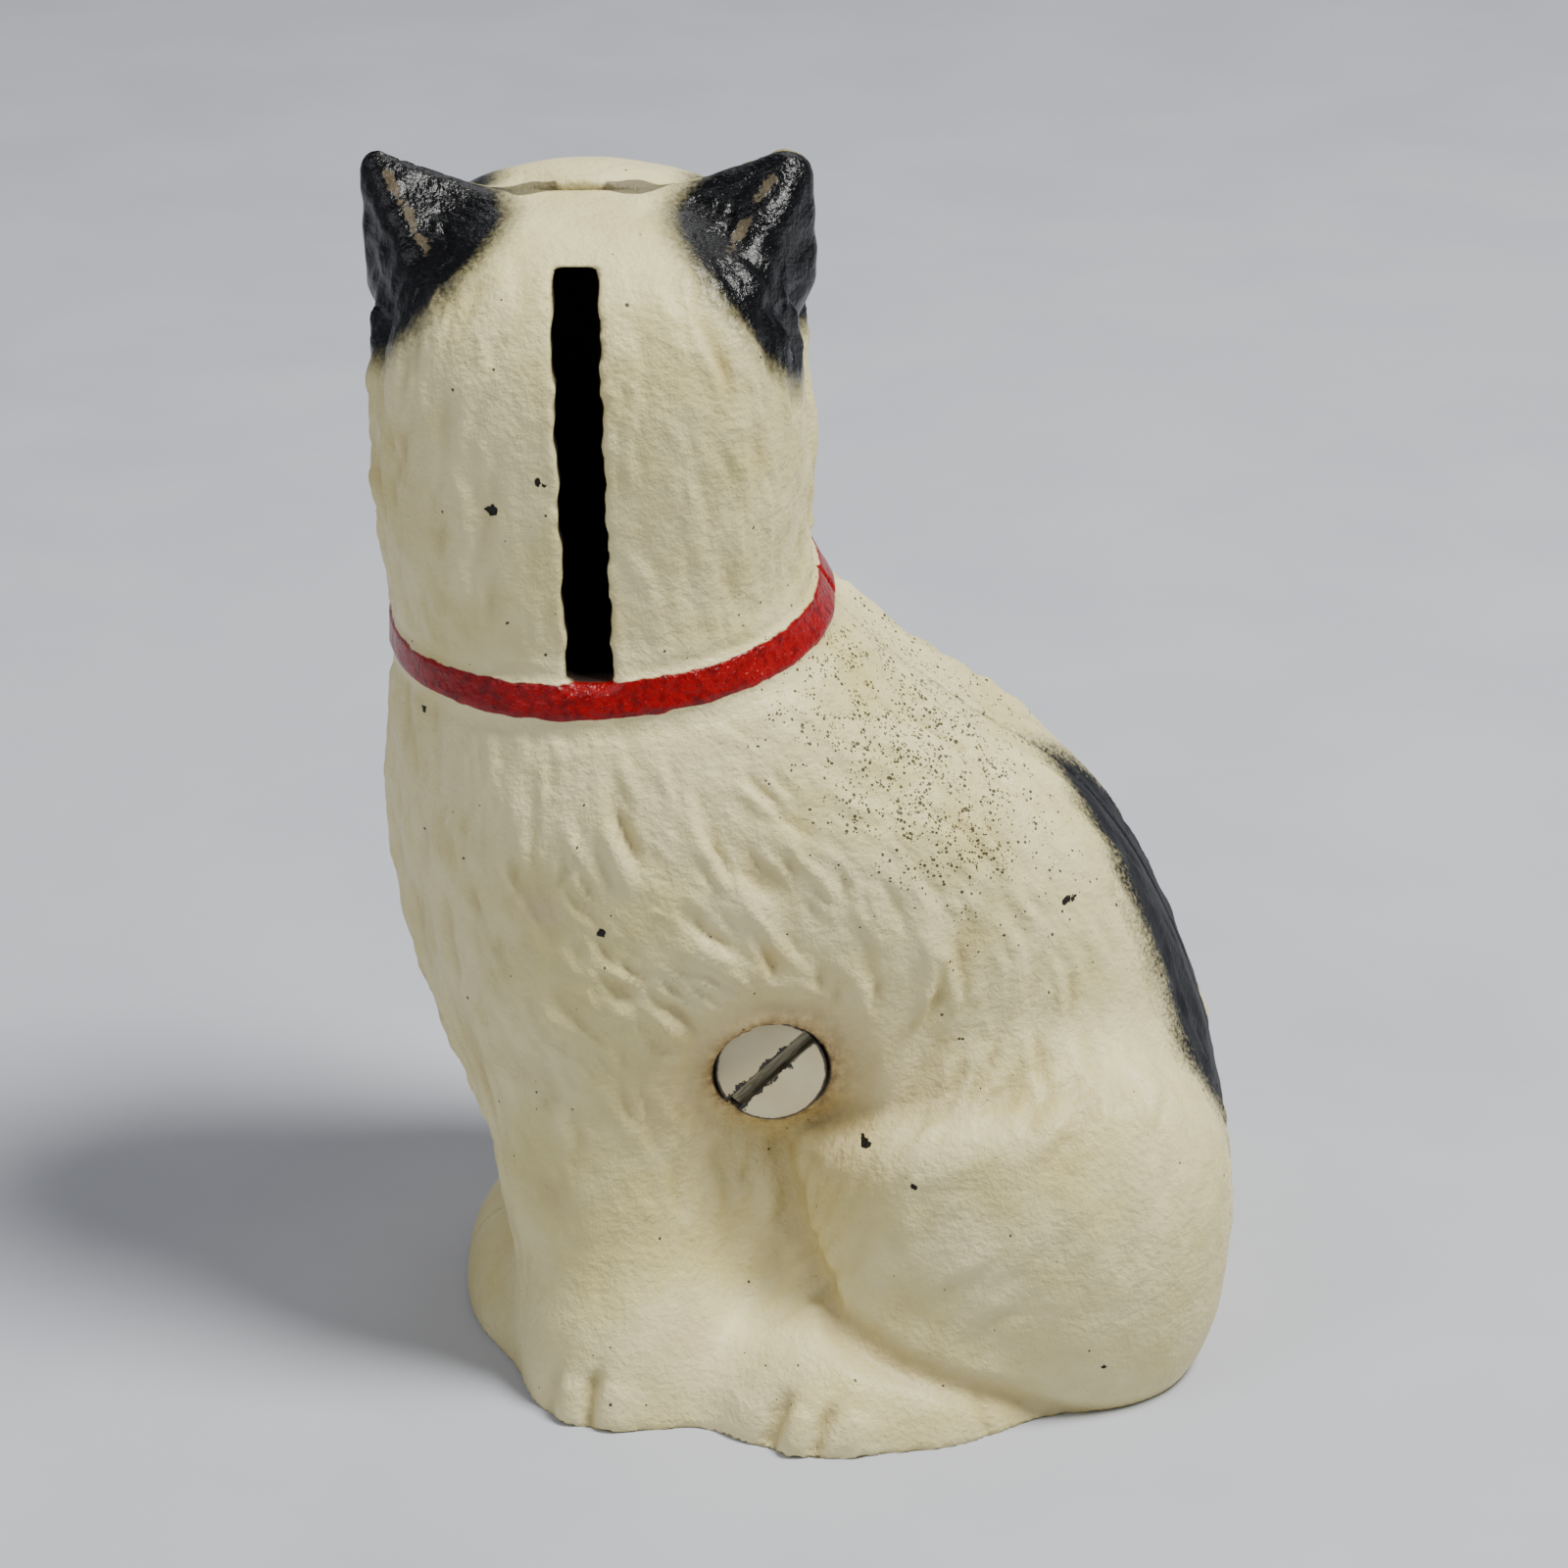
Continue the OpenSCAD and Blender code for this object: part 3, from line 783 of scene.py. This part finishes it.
def screw_piece(material):
    root = SHANK_RADIUS - THREAD_DEPTH
    face, tip = SCREW_FACE, SCREW_HIGH[1]
    cone_end = face + HEAD_LAND + CONE_HEIGHT
    rings = [(HEAD_RADIUS * f, face + 0.02) for f in (0.2, 0.4, 0.6, 0.8, 0.95)]
    profile = [(0, face + 0.02), *rings, (HEAD_RADIUS - 0.06, face + 0.05), (HEAD_RADIUS - 0.02, face + 0.16),
               (HEAD_RADIUS - 0.02, face + HEAD_LAND), (SHANK_RADIUS, cone_end),
               (SHANK_RADIUS, cone_end + 1.2), (root, cone_end + 1.9), (root, tip - 0.5), (root - 0.5, tip),
               (0, tip)]
    body = lathe("screw_body", profile, 96)
    body.data.materials.append(material)
    bpy.ops.mesh.primitive_cube_add(size=1)
    blade = bpy.context.object
    blade.dimensions = Vector((DRIVER_SLOT_WIDTH, 2 * DRIVER_SLOT_DEPTH, 2 * HEAD_RADIUS + 3)) * MM
    blade.location = Vector((SCREW_X, face, SCREW_Z)) * MM
    blade.rotation_euler = (0, math.radians(45), 0)
    cut = body.modifiers.new("driver slot", "BOOLEAN")
    cut.object = blade
    cut.solver = "EXACT"
    worn = body.modifiers.new("worn edges", "BEVEL")
    worn.width = 0.08 * MM
    worn.segments = 2
    worn.angle_limit = math.radians(50)
    body = plain_copy(body, "screw_body")
    bpy.data.objects.remove(blade)

    tree, sizes = thread_tree()
    holder = bpy.data.objects.new("thread", bpy.data.meshes.new("thread"))
    bpy.context.scene.collection.objects.link(holder)
    winding = holder.modifiers.new("thread", "NODES")
    winding.node_group = tree
    start = cone_end + 1.7
    ridge = THREAD_DEPTH - 0.06
    values = {"Turns": (tip - 0.75 - start) / THREAD_PITCH, "Pitch": THREAD_PITCH * MM,
              "Root radius": root * MM, "Ridge": ridge * MM, "Material": material}
    for label, value in values.items():
        winding[sizes[label]] = value
    thread = plain_copy(holder, "thread")
    # the helix runs up +Z: lay it along +Y from where the plain shank ends
    place = Matrix.Translation(Vector((SCREW_X, start, SCREW_Z)) * MM)
    thread.data.transform(place @ Matrix.Rotation(math.radians(-90), 4, "X"))

    screw = bmesh.new()
    screw.from_mesh(body.data)
    screw.from_mesh(thread.data)
    mesh = bpy.data.meshes.new("machine_screw")
    screw.to_mesh(mesh)
    screw.free()
    mesh.materials.append(material)
    mesh.shade_smooth()
    for old in (body, thread):
        bpy.data.objects.remove(old)
    piece = bpy.data.objects.new("machine_screw", mesh)
    bpy.context.scene.collection.objects.link(piece)
    return piece


# ------------------------------------------------------------------ finishes

def hex_colour(code):
    """An sRGB hex colour as the linear values a shader wants."""
    channels = [int(code[i:i + 2], 16) / 255 for i in (1, 3, 5)]
    return tuple(c / 12.92 if c <= 0.04045 else ((c + 0.055) / 1.055) ** 2.4 for c in channels) + (1.0,)


class Finish:
    """A material and short ways to lay one coat over another in it."""

    def __init__(self, name):
        self.material = bpy.data.materials.new(name)
        self.material.use_nodes = True
        self.tree = self.material.node_tree
        self.tree.nodes.clear()
        self.place = self.add("ShaderNodeTexCoord").outputs["Object"]

    def add(self, kind, inputs=None, **settings):
        return add_node(self.tree, kind, inputs, **settings)

    def math(self, operation, a, b=0.0):
        return self.add("ShaderNodeMath", {0: a, 1: b}, operation=operation).outputs[0]

    def mark(self, name):
        return self.add("ShaderNodeAttribute", attribute_name=name).outputs["Fac"]

    def noise(self, size_mm, detail=2.0, rough=0.5):
        return self.add("ShaderNodeTexNoise", {
            "Vector": self.place, "Scale": 1000 / size_mm, "Detail": detail,
            "Roughness": rough}).outputs["Fac"]

    def swing(self, value, width):
        """A noise brought to the middle, so that it swings width / 2 either way."""
        return self.math("MULTIPLY", self.math("SUBTRACT", value, 0.5), width)

    def ramp(self, value, low, high, to_low=0.0, to_high=1.0):
        return self.add("ShaderNodeMapRange", {
            "Value": value, "From Min": low, "From Max": high, "To Min": to_low, "To Max": to_high},
            interpolation_type="SMOOTHSTEP").outputs["Result"]

    def mix(self, factor, under, over):
        return self.add("ShaderNodeMix", {"Factor": factor, "A": under, "B": over}).outputs["Result"]

    def coat(self, factor, under, over):
        node = self.add("ShaderNodeMix", data_type="RGBA")
        for index, value in ((0, factor), (6, under), (7, over)):
            if isinstance(value, bpy.types.NodeSocket):
                self.tree.links.new(value, node.inputs[index])
            else:
                node.inputs[index].default_value = value
        return node.outputs[2]

    def bump(self, height, depth_mm, under=None, strength=1.0):
        inputs = {"Height": height, "Distance": depth_mm * MM, "Strength": strength}
        if under is not None:
            inputs["Normal"] = under
        return self.add("ShaderNodeBump", inputs).outputs["Normal"]

    def finish(self, colour, roughness, metallic, normal, **fixed):
        shader = self.add("ShaderNodeBsdfPrincipled", {
            "Base Color": colour, "Roughness": roughness, "Metallic": metallic, "Normal": normal, **fixed})
        self.add("ShaderNodeOutputMaterial", {"Surface": shader.outputs["BSDF"]})
        return self.material


# where the paint has come off in small pieces on the slot side: (x, z) and radius in mm
CHIPS = [((-27.1, 82.6), 0.42), ((-23.3, 85.4), 0.3), ((-18.5, 46.5), 0.34), ((21.4, 44.9), 0.3),
         ((22.1, 44.8), 0.22), ((4.0, 25.2), 0.34), ((8.1, 23.3), 0.32), ((24.8, 5.8), 0.24),
         ((-33.8, 62.4), 0.2), ((-22.7, 85.0), 0.16)]
# faint stains in the paint: centre, radius, colour
STAINS = [((-4.3, -22.1, 43.5), 2.4, "#C9A45A"), ((-23.8, -22.9, 48.1), 3.2, "#CBB2A0"),
          ((-11.0, -25.0, 7.0), 4.0, "#CDB98A"), ((20.0, -24.0, 28.0), 5.0, "#C8B98D")]


def brushed_enamel_on_cast_iron():
    """Old oil enamel brushed and airbrushed on sand-cast iron.

    A soft gloss broken by the casting's grain, darker and browner in the hollows, with black mist on the
    ears and back, a hand-painted red collar, specks and chips to dark iron, and bare iron inside.
    """
    f = Finish("brushed_enamel_on_cast_iron")
    grain = f.noise(0.55, 3.0, 0.6)
    peel = f.noise(1.7, 2.0)
    cloud = f.noise(13, 4.0, 0.6)
    cream = f.coat(f.ramp(cloud, 0.35, 0.68), hex_colour("#E8DCA6"), hex_colour("#D8CA8A"))
    # the hollows of the hair and the creases are painted darker and browner
    cream = f.coat(f.math("MULTIPLY", f.mark("groove"), 0.42), cream, hex_colour("#A8925A"))
    for centre, radius, code in STAINS:
        gap = f.add("ShaderNodeVectorMath", {0: f.place, 1: [c * MM for c in centre]}, operation="DISTANCE")
        reach = f.math("ADD", gap.outputs["Value"], f.math("MULTIPLY", cloud, radius * MM * 0.8))
        fade = f.ramp(reach, radius * MM * 0.3, radius * MM * 1.5, 0.4, 0.0)
        cream = f.coat(fade, cream, hex_colour(code))

    # rust that has bled from under the screw head
    halo = f.math("MULTIPLY", f.mark("halo"), f.ramp(f.noise(1.1, 4.0, 0.7), 0.32, 0.62))
    bloom = f.math("POWER", f.mark("halo"), 0.4)
    rusted = f.coat(f.math("MULTIPLY", bloom, 0.7), cream, hex_colour("#B4883F"))
    rusted = f.coat(f.math("MULTIPLY", halo, 0.95), rusted, hex_colour("#5A3A16"))

    # dirt packed in the seat's edge
    packed = f.math("MULTIPLY", f.ramp(f.mark("halo"), 0.7, 0.85), f.ramp(f.noise(2.2, 3.0, 0.7), 0.34, 0.44))
    rusted = f.coat(packed, rusted, hex_colour("#22170A"))

    # specks: a few everywhere, many on the shoulder
    cells = f.add("ShaderNodeTexVoronoi", {"Vector": f.place, "Scale": 1000 / 0.31, "Randomness": 1.0})
    pick = f.add("ShaderNodeSeparateColor", {"Color": cells.outputs["Color"]}).outputs["Red"]
    patchy = f.ramp(f.noise(1.8, 4.0, 0.7), 0.4, 0.66)
    often = f.math("ADD", f.math("MULTIPLY", f.math("MULTIPLY", f.mark("speckle"), patchy), 3.6), 0.003)
    chosen = f.math("LESS_THAN", pick, often)
    size = f.add("ShaderNodeSeparateColor", {"Color": cells.outputs["Color"]}).outputs["Green"]
    smaller = f.math("MULTIPLY", f.math("POWER", size, 2.0), 0.42)
    uneven = f.math("SUBTRACT", cells.outputs["Distance"], smaller)
    dot = f.ramp(uneven, 0.1, 0.24, 1.0, 0.0)
    specks = f.math("MULTIPLY", chosen, dot)
    painted = f.coat(f.math("MULTIPLY", specks, 0.9), rusted, hex_colour("#20180A"))

    # grime in the joint between the halves
    dirt = f.math("ADD", f.mark("seam"), f.math("MULTIPLY", f.noise(4.0, 3.0, 0.7), 0.9))
    painted = f.coat(f.ramp(dirt, 0.4, 0.66, 0.8, 0.0), painted, hex_colour("#352C1D"))

    # airbrushed black, its edge a mist of fine drops; glossy on the ears, matt on the back
    mist = f.math("ADD", f.mark("black"), f.swing(f.noise(0.5, 3.0, 0.7), 0.6))
    matt = f.ramp(f.add("ShaderNodeSeparateXYZ", {0: f.place}).outputs["X"], 0.004, 0.012)
    drops = f.swing(f.noise(0.35, 2.0, 0.7), matt)
    black = f.ramp(f.math("ADD", mist, drops), -0.6, 0.36)
    painted = f.coat(black, painted, f.coat(matt, hex_colour("#060607"), hex_colour("#16171B")))

    # the collar, brushed by hand, so its edge wanders a little
    wander = f.swing(f.noise(2.2, 3.0), 0.7)
    collar = f.ramp(f.math("ADD", f.mark("collar"), wander), -0.06, 0.1)
    red = f.coat(f.ramp(f.noise(0.8, 3.0), 0.4, 0.75), hex_colour("#900308"), hex_colour("#640206"))
    painted = f.coat(collar, painted, red)

    # the face's painted details
    eye = f.mark("eye")
    painted = f.coat(f.ramp(eye, 0.98, 1.06, 1.0, 0.0), painted, hex_colour("#141311"))
    painted = f.coat(f.ramp(eye, 0.80, 0.86, 1.0, 0.0), painted, hex_colour("#9DA03C"))
    pupil = f.math("MULTIPLY", f.ramp(f.mark("slit"), 0.5, 0.62, 1.0, 0.0), f.ramp(eye, 0.72, 0.8, 1.0, 0.0))
    painted = f.coat(pupil, painted, hex_colour("#0B0B0B"))
    painted = f.coat(f.ramp(f.mark("mouth"), 0.2, 0.42, 0.85, 0.0), painted, hex_colour("#2A1D16"))
    painted = f.coat(f.ramp(f.mark("nose"), 1.5, 1.75, 1.0, 0.0), painted, hex_colour("#B97468"))

    # black rubbed through to old metal along the ears' ridges
    rub = f.math("ADD", f.mark("wear"), f.swing(f.noise(1.4, 4.0, 0.7), 2.6))
    worn = f.ramp(rub, 0.3, 0.48, 1.0, 0.0)
    painted = f.coat(worn, painted, hex_colour("#4D4330"))

    chipped = 0.0
    rag = f.swing(f.noise(0.6, 2.0), 0.9 * MM)
    flat = f.add("ShaderNodeVectorMath", {0: f.place, 1: (1, 0, 1)}, operation="MULTIPLY").outputs[0]
    for (x, z), radius in CHIPS:
        gap = f.add("ShaderNodeVectorMath", {0: flat, 1: (x * MM, 0, z * MM)}, operation="DISTANCE")
        hole = f.ramp(f.math("ADD", gap.outputs["Value"], rag), radius * MM, (radius + 0.08) * MM, 1.0, 0.0)
        chipped = f.math("MAXIMUM", chipped, hole)
    slot_side = f.math("LESS_THAN", f.add("ShaderNodeSeparateXYZ", {0: f.place}).outputs["Y"], -0.004)
    chipped = f.math("MULTIPLY", chipped, slot_side)
    painted = f.coat(chipped, painted, hex_colour("#171109"))

    bare = f.mark("bare")
    iron = f.coat(f.ramp(f.noise(2.5, 5.0, 0.7), 0.35, 0.7), hex_colour("#2C2A28"), hex_colour("#4A3B2E"))
    colour = f.coat(bare, painted, iron)

    rough = f.ramp(grain, 0.3, 0.7, 0.34, 0.48)
    rough = f.mix(black, rough, f.mix(matt, 0.24, 0.6))
    rough = f.mix(collar, rough, 0.27)
    rough = f.mix(f.math("MAXIMUM", f.math("MAXIMUM", specks, chipped), worn), rough, 0.55)
    rough = f.mix(bare, rough, 0.7)
    metal = f.math("MAXIMUM", f.math("MULTIPLY", worn, 0.2), f.math("MULTIPLY", bare, 0.5))

    relief = f.bump(peel, 0.24)
    relief = f.bump(grain, 0.19, relief)
    relief = f.bump(f.math("MULTIPLY", f.math("MAXIMUM", chipped, specks), -1.0), 0.08, relief)
    return f.finish(colour, rough, metal, relief,
                    **{"Coat Weight": 0.04, "Coat Roughness": 0.15, "Specular IOR Level": 0.3})


def steel_with_painted_head():
    """A plated steel screw, its head painted over with the casting.

    The paint is scraped off along the driver slot, with ragged dark edges, and rust rings the rim.
    """
    f = Finish("steel_with_painted_head")
    axes = f.add("ShaderNodeSeparateXYZ", {0: f.place})
    x = f.math("SUBTRACT", axes.outputs["X"], SCREW_X * MM)
    z = f.math("SUBTRACT", axes.outputs["Z"], SCREW_Z * MM)
    across = f.math("ABSOLUTE", f.math("MULTIPLY", f.math("SUBTRACT", x, z), math.sqrt(0.5)))
    radius = f.math("SQRT", f.math("ADD", f.math("MULTIPLY", x, x), f.math("MULTIPLY", z, z)))
    rag = f.swing(f.noise(1.1, 4.0, 0.75), 2.2 * MM)
    top = f.math("LESS_THAN", axes.outputs["Y"], (SCREW_FACE + 0.2) * MM)
    broken = f.ramp(f.noise(2.6, 3.0, 0.6), 0.4, 0.5)
    spread = f.math("MULTIPLY", broken, f.math("SUBTRACT", rag, 0.2 * MM))
    clear = f.ramp(f.math("ADD", across, spread), 0.68 * MM, 0.76 * MM)
    paint = f.math("MULTIPLY", top, clear)
    stretched = f.add("ShaderNodeCombineXYZ", {
        "X": f.math("MULTIPLY", f.math("SUBTRACT", x, z), 8.0), "Y": axes.outputs["Y"],
        "Z": f.math("MULTIPLY", f.math("ADD", x, z), 0.8)}).outputs[0]
    scratches = f.add("ShaderNodeTexNoise", {"Vector": stretched, "Scale": 1000 / 2.0,
                                             "Detail": 4.0}).outputs["Fac"]
    steel = f.coat(f.ramp(scratches, 0.38, 0.66), hex_colour("#6B664F"), hex_colour("#9A937A"))
    beside_slot = f.ramp(f.math("ADD", across, rag), 0.36 * MM, 0.5 * MM)
    edge = f.math("MULTIPLY", f.math("MULTIPLY", top, broken), beside_slot)
    colour = f.coat(edge, steel, hex_colour("#241C12"))
    cream = f.coat(f.ramp(f.noise(6, 3.0), 0.35, 0.7), hex_colour("#E2D6AE"), hex_colour("#D8C998"))
    rim = f.ramp(f.math("ADD", radius, f.math("MULTIPLY", rag, 0.2)),
                 (HEAD_RADIUS - 0.36) * MM, (HEAD_RADIUS - 0.16) * MM, 0.0, 1.0)
    cream = f.coat(rim, cream, hex_colour("#33230F"))
    colour = f.coat(paint, colour, cream)
    rough = f.mix(paint, f.ramp(scratches, 0.3, 0.7, 0.32, 0.5), 0.38)
    metal = f.math("MULTIPLY", f.math("SUBTRACT", 1.0, f.math("MAXIMUM", paint, edge)), 0.8)
    relief = f.bump(f.noise(0.6, 3.0), 0.04)
    relief = f.bump(paint, 0.06, relief)
    return f.finish(colour, rough, metal, relief)


# ------------------------------------------------------------------ the pieces

enamel = brushed_enamel_on_cast_iron()
for node, side in (("slot_half", -1), ("face_half", 1)):
    half = cast_half("cast_" + node, side)
    half.data.materials.clear()
    half.data.materials.append(enamel)
    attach(half, node)
    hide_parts(node)

screw = screw_piece(steel_with_painted_head())
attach(screw, "screw")
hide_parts("screw")


# ------------------------------------------------------------------ floor, light, camera

def pale_paper():
    """Matt pale paper under the bank: even, with no shine."""
    f = Finish("matt_pale_paper")
    tone = f.coat(f.ramp(f.noise(30, 3.0), 0.3, 0.7), hex_colour("#BFC1C7"), hex_colour("#B9BBC2"))
    return f.finish(tone, 0.9, 0.0, f.bump(f.noise(0.8, 2.0), 0.02))


def sweep_floor():
    """A floor that curves up into a wall all round, so every side has the same plain backdrop."""
    flat, bend, top, steps = 0.9, 0.5, 1.7, 96
    profile = [(flat + bend * math.sin(t), bend - bend * math.cos(t))
               for t in np.linspace(0, math.pi / 2, 24)]
    profile.append((flat + bend, top))
    verts = [(0, 0, 0)] + [(r * math.cos(2 * math.pi * i / steps), r * math.sin(2 * math.pi * i / steps), z)
                           for r, z in profile for i in range(steps)]
    faces = [(0, 1 + i, 1 + (i + 1) % steps) for i in range(steps)]
    for ring in range(len(profile) - 1):
        for i in range(steps):
            a, b = 1 + ring * steps + i, 1 + ring * steps + (i + 1) % steps
            faces.append((a, a + steps, b + steps, b))
    mesh = bpy.data.meshes.new("sweep")
    mesh.from_pydata(verts, [], faces)
    mesh.shade_smooth()
    mesh.materials.append(pale_paper())
    floor = bpy.data.objects.new("sweep", mesh)
    bpy.context.scene.collection.objects.link(floor)


def soft_light(name, place, aim, size, watts, colour):
    lamp = bpy.data.lights.new(name, "AREA")
    lamp.shape = "DISK"
    lamp.size = size
    lamp.energy = watts
    lamp.color = hex_colour(colour)[:3]
    obj = bpy.data.objects.new(name, lamp)
    obj.location = place
    obj.rotation_euler = (Vector(aim) - Vector(place)).to_track_quat("-Z", "Y").to_euler()
    bpy.context.scene.collection.objects.link(obj)


sweep_floor()
MIDDLE = (0, 0, 0.05)
soft_light("window", (0.36, -0.12, 0.80), MIDDLE, 0.28, 11.8, "#FFFFFC")
soft_light("fill", (-0.6, -0.42, 0.72), MIDDLE, 0.6, 2.6, "#F4F5FF")
soft_light("back", (0.1, 0.6, 0.6), MIDDLE, 0.5, 1.0, "#FFFFFF")
world = bpy.data.worlds.new("room")
world.use_nodes = True
world.node_tree.nodes["Background"].inputs["Color"].default_value = hex_colour("#DCE0EA")
world.node_tree.nodes["Background"].inputs["Strength"].default_value = 0.14
bpy.context.scene.world = world

CAMERA_AIM = Vector((-3.07, 0, 49.5)) * MM
CAMERA_RISE = math.radians(24.5)
CAMERA_DISTANCE = 0.393
camera_data = bpy.data.cameras.new("camera")
camera_data.lens = 101.25
camera_data.sensor_width = 36
camera_data.clip_start = 0.01
camera = bpy.data.objects.new("camera", camera_data)
camera.location = CAMERA_AIM - CAMERA_DISTANCE * Vector((0, math.cos(CAMERA_RISE), -math.sin(CAMERA_RISE)))
camera.rotation_euler = (math.pi / 2 - CAMERA_RISE, 0, 0)
bpy.context.scene.collection.objects.link(camera)
bpy.context.scene.camera = camera
